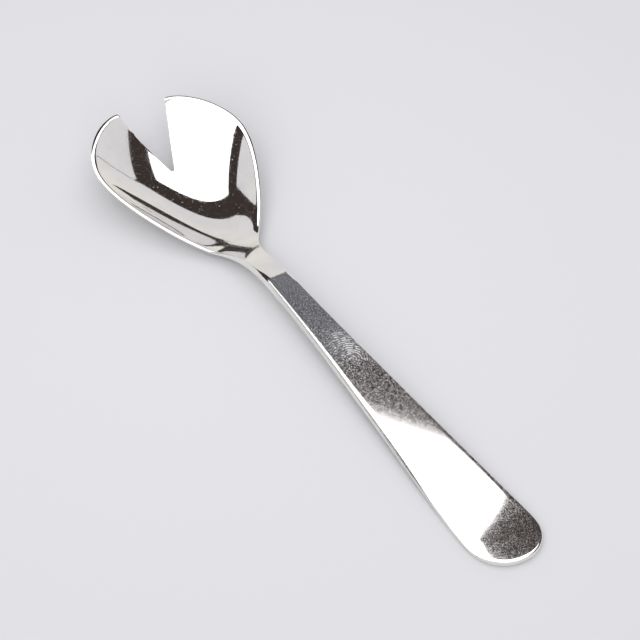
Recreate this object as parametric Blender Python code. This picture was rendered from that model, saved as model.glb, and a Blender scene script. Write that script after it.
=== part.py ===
"""Oyster spoon: a broad notched bowl with a short neck, soldered by a scarf to a flat tapering handle.

The spoon lies on its belly and on the end of its handle. X runs from the tine tips to the handle's end,
Z is up, and the origin is under the middle of the spoon's length, on the table.
"""
import math

import bmesh
import bpy
from mathutils import Vector

MM = 0.001

# Overall
LENGTH = 150.0 * MM

# Plan of the bowl, as half-widths at distances from the tine tips
TIP_HALF_WIDTH = 6.0 * MM
TIP_PULL = 5.1 * MM
WIDEST_AT = 13.6 * MM
WIDEST_HALF_WIDTH = 18.2 * MM
WIDEST_PULL_FORWARD = 7.1 * MM
WIDEST_PULL_BACK = 5.3 * MM
FLANK_AT = 32.3 * MM
FLANK_HALF_WIDTH = 11.55 * MM
FLANK_SLOPE = -0.548
FLANK_PULL_FORWARD = 6.3 * MM
FLANK_PULL_BACK = 10.7 * MM
WAIST_AT = 55.2 * MM
WAIST_HALF_WIDTH = 2.62 * MM
WAIST_PULL_FORWARD = 14.1 * MM

# Plan of the handle
WAIST_PULL_BACK = 24.6 * MM
END_ROUND_FROM = 141.1 * MM
END_HALF_WIDTH = 7.8 * MM
END_PULL = 8.4 * MM
END_ROUND_POWER = 2.18

# Side view of the bowl: the rim is a straight line, and the floor a parabola hung under it
TIP_HEIGHT = 13.67 * MM
RIM_FALL = 0.272
BOWL_DEPTH = 5.88 * MM
BOWL_MIDDLE = 20.0 * MM
BOWL_REACH = 20.8 * MM

# Side view of the neck: it rises in a slight S, with its edges a little higher than its middle
NECK_LIFT = 0.16 * MM
RIM_BLEND = 0.2 * MM
NECK_BLEND = 0.42 * MM
NECK_SLOPE = 0.193
NECK_STEEPEST = 0.316
NECK_STEEPEST_AT = 46.2 * MM
NECK_RAMP_FROM = 57.2 * MM

# Side view of the handle's top edge: it falls from the crease at the shoulder, lies down on the table,
# and its very end lifts a little
CREASE_AT = 58.2 * MM
SHOULDER_HEIGHT = 6.25 * MM
CREASE_FALL = 0.0464
CREASE_PULL = 53.7 * MM
LOW_AT = 141.7 * MM
LOW_HEIGHT = 1.29 * MM
LOW_PULL = 15.3 * MM
END_LIFT = 0.05 * MM
CROWN = 0.009

# Metal
SHEET = 1.15 * MM
SHOULDER_THICKNESS = 2.2 * MM
END_THICKNESS = 1.27 * MM
RIM_FLAT = 0.85 * MM
RIM_DROP = -0.045 * MM
RIM_WALL = 0.4 * MM
EDGE_BEVEL = 0.3 * MM
EDGE_DROP = 0.22 * MM
UNDER_CROWN = 0.3 * MM
UNDER_BEVEL = 0.2 * MM
UNDER_DROP = 0.15 * MM

# Notch between the tines
NOTCH_HALF_MOUTH = 5.95 * MM
NOTCH_DEPTH = 13.85 * MM
NOTCH_ROUND = 0.5 * MM

# Scarf joint under the shoulder
SCARF_RUN = 6.0 * MM
SCARF_DROP = 2.2 * MM
SOLDER_THICKNESS = 0.2 * MM
SOLDER_CLEARANCE = 0.1 * MM

# Fineness
FRONT_STEPS = 14
SIDE_STEPS = 12
NECK_STEPS = 14
HANDLE_STEPS = 22
END_STEPS = 9
BOWL_SPANS = 20
HANDLE_SPANS = 10


def bezier_point(curve, part):
    """Point of a four-point Bezier curve at a share of its length parameter."""
    rest = 1.0 - part
    start, start_pull, end_pull, end = curve
    weights = (rest ** 3, 3 * rest * rest * part, 3 * rest * part * part, part ** 3)
    points = (start, start_pull, end_pull, end)
    return (sum(w * p[0] for w, p in zip(weights, points)), sum(w * p[1] for w, p in zip(weights, points)))


def bezier_height(curve, along):
    """Second coordinate of the curve where its first coordinate equals along."""
    low, high = 0.0, 1.0
    for _ in range(40):
        middle = (low + high) / 2
        if bezier_point(curve, middle)[0] < along:
            low = middle
        else:
            high = middle
    return bezier_point(curve, (low + high) / 2)[1]


def ease(start, end, first, last, along):
    """Smooth change from one value to another between two places along the spoon."""
    share = min(1.0, max(0.0, (along - first) / (last - first)))
    return start + (end - start) * share * share * (3 - 2 * share)


FRONT_CURVE = (
    (0.0, TIP_HALF_WIDTH),
    (0.0, TIP_HALF_WIDTH + TIP_PULL),
    (WIDEST_AT - WIDEST_PULL_FORWARD, WIDEST_HALF_WIDTH),
    (WIDEST_AT, WIDEST_HALF_WIDTH),
)
SIDE_CURVE = (
    (WIDEST_AT, WIDEST_HALF_WIDTH),
    (WIDEST_AT + WIDEST_PULL_BACK, WIDEST_HALF_WIDTH),
    (FLANK_AT - FLANK_PULL_FORWARD, FLANK_HALF_WIDTH - FLANK_PULL_FORWARD * FLANK_SLOPE),
    (FLANK_AT, FLANK_HALF_WIDTH),
)
NECK_CURVE = (
    (FLANK_AT, FLANK_HALF_WIDTH),
    (FLANK_AT + FLANK_PULL_BACK, FLANK_HALF_WIDTH + FLANK_PULL_BACK * FLANK_SLOPE),
    (WAIST_AT - WAIST_PULL_FORWARD, WAIST_HALF_WIDTH),
    (WAIST_AT, WAIST_HALF_WIDTH),
)
HANDLE_CURVE = (
    (WAIST_AT, WAIST_HALF_WIDTH),
    (WAIST_AT + WAIST_PULL_BACK, WAIST_HALF_WIDTH),
    (END_ROUND_FROM - END_PULL, END_HALF_WIDTH),
    (END_ROUND_FROM, END_HALF_WIDTH),
)


def rim_line(along):
    """Straight side-view line of the bowl's rim."""
    return TIP_HEIGHT - RIM_FALL * along


def hollow_line(along):
    """Height of the hollow on the centre line."""
    return rim_line(along) - BOWL_DEPTH * (1 - ((along - BOWL_MIDDLE) / BOWL_REACH) ** 2)


def climb(past, reach, slope, last):
    """Height gained over a stretch whose slope changes evenly, up to a distance past its start."""
    gone = min(max(past, 0.0), reach)
    return slope * gone + (last - slope) * gone * gone / (2 * reach)


def floor_line(along):
    """Height of the bowl's floor on the centre line, running on as the neck's rise to the shoulder."""
    foot = BOWL_MIDDLE + (NECK_SLOPE + RIM_FALL) * BOWL_REACH ** 2 / (2 * BOWL_DEPTH)
    if along <= foot:
        return hollow_line(along)
    start = hollow_line(foot)
    rise = NECK_STEEPEST_AT - foot
    turn = NECK_RAMP_FROM - NECK_STEEPEST_AT
    left = SHOULDER_HEIGHT - start - (NECK_SLOPE + NECK_STEEPEST) * rise / 2
    last = (left - NECK_STEEPEST * turn / 2) / (CREASE_AT - NECK_RAMP_FROM + turn / 2)
    height = start + climb(along - foot, rise, NECK_SLOPE, NECK_STEEPEST)
    height += climb(along - NECK_STEEPEST_AT, turn, NECK_STEEPEST, last)
    return height + last * max(0.0, along - NECK_RAMP_FROM)


HANDLE_HEIGHT_CURVE = (
    (CREASE_AT, SHOULDER_HEIGHT),
    (CREASE_AT + CREASE_PULL, SHOULDER_HEIGHT - CREASE_PULL * CREASE_FALL),
    (LOW_AT - LOW_PULL, LOW_HEIGHT),
    (LOW_AT, LOW_HEIGHT),
)


def edge_height(along):
    """Height of the top edge: the bowl's rim, the sides of the neck, then the handle's edges."""
    if along >= LOW_AT:
        return LOW_HEIGHT + END_LIFT * ((along - LOW_AT) / (LENGTH - LOW_AT)) ** 2
    if along >= CREASE_AT:
        return bezier_height(HANDLE_HEIGHT_CURVE, along)
    rim = rim_line(along)
    lift = ease(0.0, NECK_LIFT, 37 * MM, 44 * MM, along) - ease(0.0, NECK_LIFT, 52 * MM, CREASE_AT, along)
    side = floor_line(along) + lift
    blend = ease(RIM_BLEND, NECK_BLEND, 25 * MM, 38 * MM, along)
    return (rim + side) / 2 + math.hypot((rim - side) / 2, blend)


def middle_height(along, half_width):
    """Height of the top surface on the centre line: hollow in the bowl, gently crowned on the handle."""
    if along >= CREASE_AT:
        crown = ease(0.0, CROWN * half_width, CREASE_AT, CREASE_AT + 8 * MM, along)
        return edge_height(along) + crown
    return floor_line(along)


def thickness(along):
    """Metal under the centre line: even sheet in the bowl, thick at the shoulder, thinning to the end."""
    if along < CREASE_AT:
        return ease(SHEET, SHOULDER_THICKNESS, 33 * MM, CREASE_AT, along)
    share = (along - CREASE_AT) / (LENGTH - CREASE_AT)
    return SHOULDER_THICKNESS + (END_THICKNESS - SHOULDER_THICKNESS) * share


def wall_height(along):
    """Drop from the top edge to the underside's edge."""
    under_crown = ease(UNDER_CROWN, 0.0, WAIST_AT, WAIST_AT + 14 * MM, along)
    return ease(RIM_WALL, thickness(along) - under_crown, 33 * MM, 52 * MM, along)


def outline():
    """Half outline of the spoon as (along, half width) points, with a stub ahead of the tine tips."""
    points = [(-1.5 * MM, 4.0 * MM)]
    for curve, steps in ((FRONT_CURVE, FRONT_STEPS), (SIDE_CURVE, SIDE_STEPS), (NECK_CURVE, NECK_STEPS)):
        points += [bezier_point(curve, step / steps) for step in range(steps)]
    points += [(WAIST_AT, WAIST_HALF_WIDTH)]
    reach = END_ROUND_FROM - CREASE_AT
    for step in range(HANDLE_STEPS):
        along = CREASE_AT + reach * step / HANDLE_STEPS
        points.append((along, bezier_height(HANDLE_CURVE, along)))
    last_turn = math.radians(84)
    for step in range(END_STEPS + 1):
        turn = last_turn * step / END_STEPS
        ahead = (math.sin(turn) / math.sin(last_turn)) ** (2 / END_ROUND_POWER)
        aside = math.cos(turn) ** (2 / END_ROUND_POWER)
        points.append((END_ROUND_FROM + (LENGTH - END_ROUND_FROM) * ahead, END_HALF_WIDTH * aside))
    return points


def outward(points, index):
    """Unit vector square to the outline, pointing out of the metal."""
    before = points[max(1, index - 1)]
    after = points[index + 1] if index + 1 < len(points) else (LENGTH, 0.0)
    run = (after[0] - before[0], after[1] - before[1])
    size = math.hypot(*run)
    return (-run[1] / size, run[0] / size)


def section(points, index, spans):
    """Closed ring of points round the metal at one place of the outline."""
    along, half_width = points[index]
    out = outward(points, index) if index else (0.0, 1.0)
    inset = ease(RIM_FLAT, EDGE_BEVEL, 34 * MM, 46 * MM, along)
    drop = ease(RIM_DROP, EDGE_DROP, 34 * MM, 46 * MM, along)
    lift = ease(0.0, UNDER_DROP, 34 * MM, 46 * MM, along)
    inset = min(inset, half_width * 0.6)
    top_along = along - inset * out[0]
    top_half = half_width - inset * out[1]
    top_edge = edge_height(top_along)
    top_middle = middle_height(top_along, half_width)
    under_inset = min(UNDER_BEVEL, half_width * 0.4)
    under_along = along - under_inset * out[0]
    under_half = half_width - under_inset * out[1]
    shares = [2 * step / spans - 1 for step in range(spans + 1)]

    def under_height(share):
        """Height of the underside, flattened where the spoon rests on the table."""
        edge = edge_height(under_along) - wall_height(under_along)
        if under_along < CREASE_AT:
            middle = floor_line(under_along) - thickness(under_along)
        else:
            middle = edge_height(under_along) - thickness(under_along)
        return max(0.0, edge + (middle - edge) * (1 - share * share))

    upper = edge_height(along) - drop
    lower = max(0.0, edge_height(along) - wall_height(along)) + lift
    ring = [(top_along, share * top_half, top_edge + (top_middle - top_edge) * (1 - share * share))
            for share in shares]
    ring += [(along, half_width, upper), (along, half_width, lower)]
    ring += [(under_along, share * under_half, under_height(share * under_half / half_width))
             for share in reversed(shares)]
    ring += [(along, -half_width, lower), (along, -half_width, upper)]
    return [Vector((x - LENGTH / 2, y, z)) for x, y, z in ring]


def blank(first, last, spans):
    """Closed body through the outline's points from first to last."""
    points = outline()
    body = bmesh.new()
    sections = [section(points, index, spans) for index in range(first, last)]
    rings = [[body.verts.new(place) for place in places] for places in sections]
    for ring, following in zip(rings, rings[1:]):
        for step, vertex in enumerate(ring):
            beside = (step + 1) % len(ring)
            body.faces.new((vertex, ring[beside], following[beside], following[step]))
    for ring in (rings[0], rings[-1]):
        under = spans + 3
        wall = [ring[spans + 1], ring[spans + 2], ring[-2], ring[-1]]
        body.faces.new(ring[:spans + 1] + [wall[0], wall[3]])
        body.faces.new(ring[under:under + spans + 1] + [wall[2], wall[1]])
        body.faces.new(wall)
    bmesh.ops.recalc_face_normals(body, faces=body.faces)
    return body


def cut_along_scarf(body, offset, keep_front):
    """Cuts the body square to the scarf at an offset from its middle and closes the cut."""
    lean = Vector((SCARF_DROP, 0, SCARF_RUN)).normalized()
    place = Vector((CREASE_AT - LENGTH / 2, 0, SHOULDER_HEIGHT)) + lean * offset
    everything = body.verts[:] + body.edges[:] + body.faces[:]
    cut = bmesh.ops.bisect_plane(
        body, geom=everything, dist=1e-7, plane_co=place, plane_no=lean,
        clear_outer=keep_front, clear_inner=not keep_front)
    edges = [item for item in cut["geom_cut"] if isinstance(item, bmesh.types.BMEdge)]
    bmesh.ops.edgenet_fill(body, edges=edges)
    bmesh.ops.recalc_face_normals(body, faces=body.faces)


def silver(name, colour, roughness):
    """Polished metal with its own colour and roughness."""
    material = bpy.data.materials.new(name)
    material.use_nodes = True
    shader = material.node_tree.nodes["Principled BSDF"]
    shader.inputs["Base Color"].default_value = (*colour, 1.0)
    shader.inputs["Metallic"].default_value = 1.0
    shader.inputs["Roughness"].default_value = roughness
    return material


def add_piece(name, body, material):
    """Makes one named piece from a closed body."""
    mesh = bpy.data.meshes.new(name)
    body.to_mesh(mesh)
    body.free()
    mesh.shade_smooth()
    mesh.set_sharp_from_angle(angle=math.radians(30))
    mesh.materials.append(material)
    piece = bpy.data.objects.new(name, mesh)
    bpy.context.scene.collection.objects.link(piece)
    return piece


def notch_cutter():
    """Upright wedge with a rounded point that opens the gap between the tines."""
    ahead = -3.0 * MM
    lean = math.atan2(NOTCH_HALF_MOUTH, NOTCH_DEPTH + NOTCH_ROUND)
    centre = NOTCH_DEPTH - NOTCH_ROUND
    plan = [(ahead, -NOTCH_HALF_MOUTH + ahead * math.tan(lean))]
    for step in range(7):
        turn = (lean - math.pi / 2) * (1 - step / 3)
        plan.append((centre + NOTCH_ROUND * math.cos(turn), NOTCH_ROUND * math.sin(turn)))
    plan.append((ahead, NOTCH_HALF_MOUTH - ahead * math.tan(lean)))
    body = bmesh.new()
    base = body.faces.new([body.verts.new((x - LENGTH / 2, y, -1 * MM)) for x, y in plan])
    raised = bmesh.ops.extrude_face_region(body, geom=[base])
    tops = [item for item in raised["geom"] if isinstance(item, bmesh.types.BMVert)]
    bmesh.ops.translate(body, verts=tops, vec=(0, 0, 20 * MM))
    bmesh.ops.recalc_face_normals(body, faces=body.faces)
    mesh = bpy.data.meshes.new("notch_cutter")
    body.to_mesh(mesh)
    body.free()
    cutter = bpy.data.objects.new("notch_cutter", mesh)
    cutter.hide_render = True
    cutter.display_type = "WIRE"
    bpy.context.scene.collection.objects.link(cutter)
    return cutter


def build():
    """Builds the bowl, the handle and the solder between them."""
    for item in list(bpy.data.objects):
        bpy.data.objects.remove(item, do_unlink=True)

    shoulder = 2 + FRONT_STEPS + SIDE_STEPS + NECK_STEPS
    total = len(outline())
    half_film = SOLDER_THICKNESS / 2
    half_joint = half_film + SOLDER_CLEARANCE

    bowl_body = blank(0, shoulder + 5, BOWL_SPANS)
    cut_along_scarf(bowl_body, -half_joint, keep_front=True)
    bowl = add_piece("bowl", bowl_body, silver("bowl_silver", (0.93, 0.92, 0.90), 0.06))
    notch = bowl.modifiers.new("notch", "BOOLEAN")
    notch.operation = "DIFFERENCE"
    notch.solver = "EXACT"
    notch.object = notch_cutter()

    handle_body = blank(shoulder - 3, total, HANDLE_SPANS)
    cut_along_scarf(handle_body, half_joint, keep_front=False)
    add_piece("handle", handle_body, silver("handle_silver", (0.90, 0.89, 0.88), 0.2))

    film_body = blank(shoulder - 3, shoulder + 5, HANDLE_SPANS)
    cut_along_scarf(film_body, half_film, keep_front=True)
    cut_along_scarf(film_body, -half_film, keep_front=False)
    add_piece("solder_seam", film_body, silver("solder_silver", (0.80, 0.78, 0.73), 0.35))


build()
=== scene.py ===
"""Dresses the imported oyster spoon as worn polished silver, lying on a pale table under a light box.

All sizes of the spoon are in millimetres from the tine tips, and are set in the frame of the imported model,
whose origin is on the table under the middle of the spoon's length.
"""

import logging
import math
from dataclasses import dataclass, field
from enum import Enum
from functools import cached_property

import bmesh
import bpy
from mathutils import Matrix, Vector


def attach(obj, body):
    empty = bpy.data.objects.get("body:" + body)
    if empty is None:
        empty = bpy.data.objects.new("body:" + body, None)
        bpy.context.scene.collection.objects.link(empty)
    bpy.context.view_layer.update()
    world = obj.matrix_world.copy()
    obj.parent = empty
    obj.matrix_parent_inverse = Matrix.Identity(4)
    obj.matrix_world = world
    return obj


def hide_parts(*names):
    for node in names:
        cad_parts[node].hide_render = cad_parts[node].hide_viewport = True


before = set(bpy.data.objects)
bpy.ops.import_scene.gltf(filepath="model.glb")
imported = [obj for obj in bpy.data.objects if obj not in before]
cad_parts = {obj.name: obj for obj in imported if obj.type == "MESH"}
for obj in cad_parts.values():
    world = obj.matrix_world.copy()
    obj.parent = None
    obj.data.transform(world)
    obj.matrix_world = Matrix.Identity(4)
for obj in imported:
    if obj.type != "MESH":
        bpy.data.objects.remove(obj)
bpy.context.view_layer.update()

MM = 0.001
MIDDLE = 75.0
SAME_PLACE = 2e-7
ON_CENTRE = 1e-7
ON_PLANE = 1e-8
LOG = logging.getLogger("oyster_spoon")

Pair = tuple[float, float]
Place = tuple[float, float, float]
Colour = tuple[float, float, float]
Row = list[bmesh.types.BMVert]
Socket = bpy.types.NodeSocket
Material = bpy.types.Material


class Piece(Enum):
    """The spoon's pieces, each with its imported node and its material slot."""

    BOWL = ("bowl", "bowl_silver")
    HANDLE = ("handle", "handle_silver")
    SEAM = ("solder_seam", "solder_silver")

    @property
    def node(self) -> str:
        """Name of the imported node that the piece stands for."""
        return self.value[0]

    @property
    def slot(self) -> str:
        """Name of the record's material slot."""
        return self.value[1]


class Keep(Enum):
    """Which side of a cut along the scarf stays."""

    FRONT = "front"
    BACK = "back"


class Flank(Enum):
    """Side of the spoon, with the sign of its distance from the centre line."""

    LEFT = -1.0
    RIGHT = 1.0


class Sum(Enum):
    """What a node makes of two values, by Blender's name for it."""

    ADD = "ADD"
    SUBTRACT = "SUBTRACT"
    MULTIPLY = "MULTIPLY"
    MAXIMUM = "MAXIMUM"


def eased(start: float, end: float, first: float, last: float, along: float) -> float:
    """Smooth change from one value to another between two places along the spoon.

    Args:
        start: Value up to the first place.
        end: Value from the last place on.
        first: Where the change begins.
        last: Where the change ends.
        along: Place that is asked for.

    Returns:
        The value at that place.
    """
    share = min(1.0, max(0.0, (along - first) / (last - first)))
    return start + (end - start) * share * share * (3 - 2 * share)


@dataclass(frozen=True)
class Along:
    """Value that changes along the spoon, easing from stop to stop."""

    stops: tuple[Pair, ...]

    def at(self, along: float) -> float:
        """Value at a place.

        Args:
            along: Distance from the tine tips.

        Returns:
            The value there.
        """
        value = self.stops[0][1]
        for (place, level), (after, next_level) in zip(self.stops, self.stops[1:]):
            value += eased(0.0, next_level - level, place, after, along)
        return value

    def draw(self, sheet: "NodeSheet") -> Socket:
        """Draws the value in a material.

        Args:
            sheet: Nodes of the silver.

        Returns:
            The value at each point of the surface.
        """
        value = None
        for (place, level), (after, next_level) in zip(self.stops, self.stops[1:]):
            first, last = (place - MIDDLE) * MM, (after - MIDDLE) * MM
            start = level if value is None else 0.0
            step = sheet.spread(sheet.forward, first, last, (start, start + next_level - level))
            value = step if value is None else sheet.combine(Sum.ADD, value, step)
        return value


@dataclass(frozen=True)
class Curve:
    """Bezier curve with two ends and their pulls."""

    start: Pair
    start_pull: Pair
    end_pull: Pair
    end: Pair

    def at(self, share: float) -> Pair:
        """Point of the curve.

        Args:
            share: Share of the curve's parameter, from 0 to 1.

        Returns:
            The point's two coordinates.
        """
        rest = 1.0 - share
        weights = (rest ** 3, 3 * rest * rest * share, 3 * rest * share * share, share ** 3)
        points = (self.start, self.start_pull, self.end_pull, self.end)
        return tuple(sum(weight * point[axis] for weight, point in zip(weights, points)) for axis in (0, 1))

    def height(self, along: float) -> float:
        """Second coordinate where the first one is given.

        Args:
            along: First coordinate, within the curve's reach.

        Returns:
            The second coordinate there.
        """
        low, high = 0.0, 1.0
        for _ in range(32):
            middle = (low + high) / 2
            if self.at(middle)[0] < along:
                low = middle
            else:
                high = middle
        return self.at((low + high) / 2)[1]


@dataclass(frozen=True)
class Knot:
    """Place on an outline, away from the centre line or the table, with its run and its pulls."""

    at: float
    away: float
    run: Pair = (1.0, 0.0)
    before: float = 0.0
    after: float = 0.0

    def ahead(self, distance: float) -> Pair:
        """Point at a distance ahead along the outline's run."""
        return (self.at + distance * self.run[0], self.away + distance * self.run[1])

    def to(self, following: "Knot") -> Curve:
        """Curve from this knot to the one that follows."""
        pulls = (self.ahead(self.after), following.ahead(-following.before))
        return Curve(self.ahead(0.0), *pulls, following.ahead(0.0))


@dataclass(frozen=True)
class Plan:
    """Half outline of the spoon, seen from above."""

    tip: Knot = Knot(0.0, 6.0, run=(0.0, 1.0), after=5.1)
    widest: Knot = Knot(13.6, 18.2, before=7.1, after=5.3)
    flank: Knot = Knot(32.3, 11.55, run=(1.0, -0.548), before=6.3, after=10.7)
    waist: Knot = Knot(55.2, 2.62, before=14.1, after=24.6)
    end_from: Knot = Knot(141.1, 7.8, before=8.4)
    length: float = 150.0
    end_power: float = 2.18

    @property
    def front(self) -> Curve:
        """From a tine's tip to the widest place."""
        return self.tip.to(self.widest)

    @property
    def side(self) -> Curve:
        """From the widest place to the bowl's flank."""
        return self.widest.to(self.flank)

    @property
    def neck(self) -> Curve:
        """From the flank to the waist."""
        return self.flank.to(self.waist)

    @property
    def grip(self) -> Curve:
        """From the waist to the start of the rounded end."""
        return self.waist.to(self.end_from)

    def half_grip(self, along: float) -> float:
        """Half-width of the handle, with its rounded end squared off."""
        end = self.end_from
        return end.away if along >= end.at else self.grip.height(max(along, self.waist.at))

    def end(self, turn: float) -> Pair:
        """Point on the rounded end.

        Args:
            turn: Angle from the handle's side, in radians; a quarter turn is the very end.

        Returns:
            The point's place along the spoon and its half-width.
        """
        ahead = math.sin(turn) ** (2 / self.end_power)
        aside = max(0.0, math.cos(turn)) ** (2 / self.end_power)
        start = self.end_from
        return (start.at + (self.length - start.at) * ahead, start.away * aside)


@dataclass(frozen=True)
class SideView:
    """Heights of the spoon above the table."""

    tip_height: float = 13.67
    rim_fall: float = 0.272
    bowl_depth: float = 5.88
    bowl_middle: float = 20.0
    bowl_reach: float = 20.8
    neck_lift: Along = Along(((37.0, 0.0), (44.0, 0.16), (52.0, 0.16), (58.2, 0.0)))
    rim_blend: Along = Along(((25.0, 0.2), (38.0, 0.42)))
    neck_slope: float = 0.193
    neck_steepest: float = 0.316
    neck_steepest_at: float = 46.2
    neck_ramp_from: float = 57.2
    crease_at: float = 58.2
    shoulder: float = 6.25
    crease_fall: float = 0.0464
    crease_pull: float = 53.7
    low_at: float = 141.7
    low_height: float = 1.29
    low_pull: float = 15.3
    end_at: float = 150.0
    end_lift: float = 0.05
    sheet: float = 1.15
    shoulder_thickness: float = 2.2
    end_thickness: float = 1.27
    thickens_from: float = 33.0
    rim_wall: float = 0.4
    wall_full_at: float = 52.0
    under_crown: Along = Along(((55.2, 0.3), (69.2, 0.0)))

    def rim(self, along: float) -> float:
        """Straight line of the bowl's rim."""
        return self.tip_height - self.rim_fall * along

    def hollow(self, along: float) -> float:
        """Curve of the hollow along the centre line."""
        return self.rim(along) - self.bowl_depth * (1 - ((along - self.bowl_middle) / self.bowl_reach) ** 2)

    def floor(self, along: float) -> float:
        """Centre line of the hollow, running on as the ramp of the neck.

        Args:
            along: Distance from the tine tips.

        Returns:
            Height above the table.
        """
        leaving = self.neck_slope + self.rim_fall
        foot = self.bowl_middle + leaving * self.bowl_reach ** 2 / (2 * self.bowl_depth)
        if along <= foot:
            return self.hollow(along)
        height = self.hollow(foot)
        rise = self.neck_steepest_at - foot
        turn = self.neck_ramp_from - self.neck_steepest_at
        ramp = self.crease_at - self.neck_ramp_from
        left = self.shoulder - height - (self.neck_slope + self.neck_steepest) * rise / 2
        last = (left - self.neck_steepest * turn / 2) / (ramp + turn / 2)
        height += self.climb(along - foot, rise, self.neck_slope, self.neck_steepest)
        height += self.climb(along - self.neck_steepest_at, turn, self.neck_steepest, last)
        return height + last * max(0.0, along - self.neck_ramp_from)

    def climb(self, past: float, reach: float, slope: float, last: float) -> float:
        """Height gained so far past the start of a stretch, whose slope changes evenly to its last one."""
        gone = min(max(past, 0.0), reach)
        return slope * gone + (last - slope) * gone * gone / (2 * reach)

    @property
    def fall(self) -> Curve:
        """Top edge of the handle, from the crease to its lowest place."""
        crease = Knot(self.crease_at, self.shoulder, (1.0, -self.crease_fall), after=self.crease_pull)
        return crease.to(Knot(self.low_at, self.low_height, before=self.low_pull))

    def edge(self, along: float) -> float:
        """Top edge: the bowl's rim, the sides of the neck, then the handle's edges.

        Args:
            along: Distance from the tine tips.

        Returns:
            Height above the table.
        """
        if along >= self.low_at:
            share = (along - self.low_at) / (self.end_at - self.low_at)
            return self.low_height + self.end_lift * share ** 2
        if along >= self.crease_at:
            return self.fall.height(along)
        rim, side = self.rim(along), self.floor(along) + self.neck_lift.at(along)
        return (rim + side) / 2 + math.hypot((rim - side) / 2, self.rim_blend.at(along))

    def middle(self, along: float) -> float:
        """Centre line of the top, before the handle is crowned."""
        return self.floor(along) if along < self.crease_at else self.edge(along)

    def thickness(self, along: float) -> float:
        """Metal under the centre line.

        Args:
            along: Distance from the tine tips.

        Returns:
            Thickness: even in the bowl, full at the shoulder, thinning to the handle's end.
        """
        if along < self.crease_at:
            return eased(self.sheet, self.shoulder_thickness, self.thickens_from, self.crease_at, along)
        share = (along - self.crease_at) / (self.end_at - self.crease_at)
        return self.shoulder_thickness + (self.end_thickness - self.shoulder_thickness) * share

    def wall(self, along: float) -> float:
        """Drop from the top edge to the underside's edge."""
        full = self.thickness(along) - self.under_crown.at(along)
        return eased(self.rim_wall, full, self.thickens_from, self.wall_full_at, along)

    def under(self, along: float, share: float) -> float:
        """Underside, flattened where the spoon rests on the table.

        Args:
            along: Distance from the tine tips.
            share: Share of the half-width, from the centre line.

        Returns:
            Height above the table.
        """
        edge = self.edge(along) - self.wall(along)
        middle = self.middle(along) - self.thickness(along)
        return max(0.0, edge + (middle - edge) * (1 - share * share))


@dataclass(frozen=True)
class Notch:
    """V notch with a rounded point, between the tines."""

    half_mouth: float = 5.95
    depth: float = 13.85
    round: float = 0.5
    soft_edge: float = 0.12

    @property
    def centre(self) -> float:
        """Middle of the rounded point."""
        return self.depth - self.round

    @property
    def lean(self) -> float:
        """Angle of the notch's sides to the spoon's length."""
        reach = math.hypot(self.half_mouth, self.centre)
        return math.atan2(self.half_mouth, self.centre) - math.asin(self.round / reach)

    def half_gap(self, along: float) -> float:
        """Half-width of the notch.

        Args:
            along: Distance from the tine tips.

        Returns:
            Half-width there, 0 behind the notch.
        """
        if along >= self.depth:
            return 0.0
        if along > self.centre + self.round * math.sin(self.lean):
            return math.sqrt(max(0.0, self.round ** 2 - (along - self.centre) ** 2))
        return self.half_mouth - along * math.tan(self.lean)

    def softening(self, along: float, aside: float) -> float:
        """How far the worn edge of the notch lies below the hollow's surface.

        Args:
            along: Distance from the tine tips.
            aside: Distance from the centre line.

        Returns:
            The drop, 0 away from the notch.
        """
        if math.atan2(aside, along - self.centre) < math.pi / 2 - self.lean:
            gap = math.hypot(aside, along - self.centre) - self.round
        else:
            gap = (aside - self.half_mouth + along * math.tan(self.lean)) * math.cos(self.lean)
        return self.soft_edge * max(0.0, 1 - max(0.0, gap) / self.soft_edge) ** 2


@dataclass(frozen=True)
class WornFlat:
    """Flat worn on the left of the neck, widening up to the shoulder."""

    starts_at: float = 53.3
    starts_height: float = 5.83
    ahead: float = 3.0
    rise: float = 0.035
    lean: float = 0.25

    def height(self, along: float, depth: float) -> float:
        """Height of the flat at a depth inside the outline, out of reach ahead of it."""
        past = along - self.starts_at
        return math.inf if past < -self.ahead else self.starts_height + self.rise * past + self.lean * depth


@dataclass(frozen=True)
class Edges:
    """How the bowl's rim and then the neck's bevel are finished."""

    inset: Along = Along(((34.0, 0.85), (46.0, 0.3)))
    drop: Along = Along(((34.0, -0.045), (46.0, 0.05)))
    soft_width: Along = Along(((4.0, 0.65), (16.0, 0.42), (34.0, 0.42), (46.0, 0.28)))
    soft_drop: Along = Along(((4.0, 0.13), (16.0, 0.085), (34.0, 0.085), (46.0, 0.17)))
    rim_fillet: float = 0.3
    steepest_hollow: float = 0.8
    under_bevel: float = 0.2
    under_lift: Along = Along(((34.0, 0.0), (46.0, 0.15)))


@dataclass(frozen=True)
class RimCorner:
    """Rounded corner between the hollow and the rim."""

    steep: float
    fillet: float

    def drop(self, gap: float) -> float:
        """How far the rounded corner lies below a sharp one, at a distance from it."""
        return self.steep * max(0.0, self.fillet - gap) ** 2 / (4 * self.fillet)


@dataclass(frozen=True)
class Station:
    """A place on the half outline, with the direction that points out of the metal."""

    along: float
    half: float
    out: Pair
    on_notch: bool = False

    def inset(self, depth: float) -> Pair:
        """Point at a depth inside the outline."""
        return (self.along - depth * self.out[0], self.half - depth * self.out[1])


def stations(points: list[Pair], after: Pair) -> list[Station]:
    """Stations through the points of a half outline.

    Args:
        points: Places along the spoon with their half-widths.
        after: The point that follows the last one.

    Returns:
        One station for each point.
    """
    found = []
    for index, (along, half) in enumerate(points):
        before = points[max(0, index - 1)]
        following = points[index + 1] if index + 1 < len(points) else after
        run = (following[0] - before[0], following[1] - before[1])
        size = math.hypot(*run)
        found.append(Station(along, half, (-run[1] / size, run[0] / size)))
    return found


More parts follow.
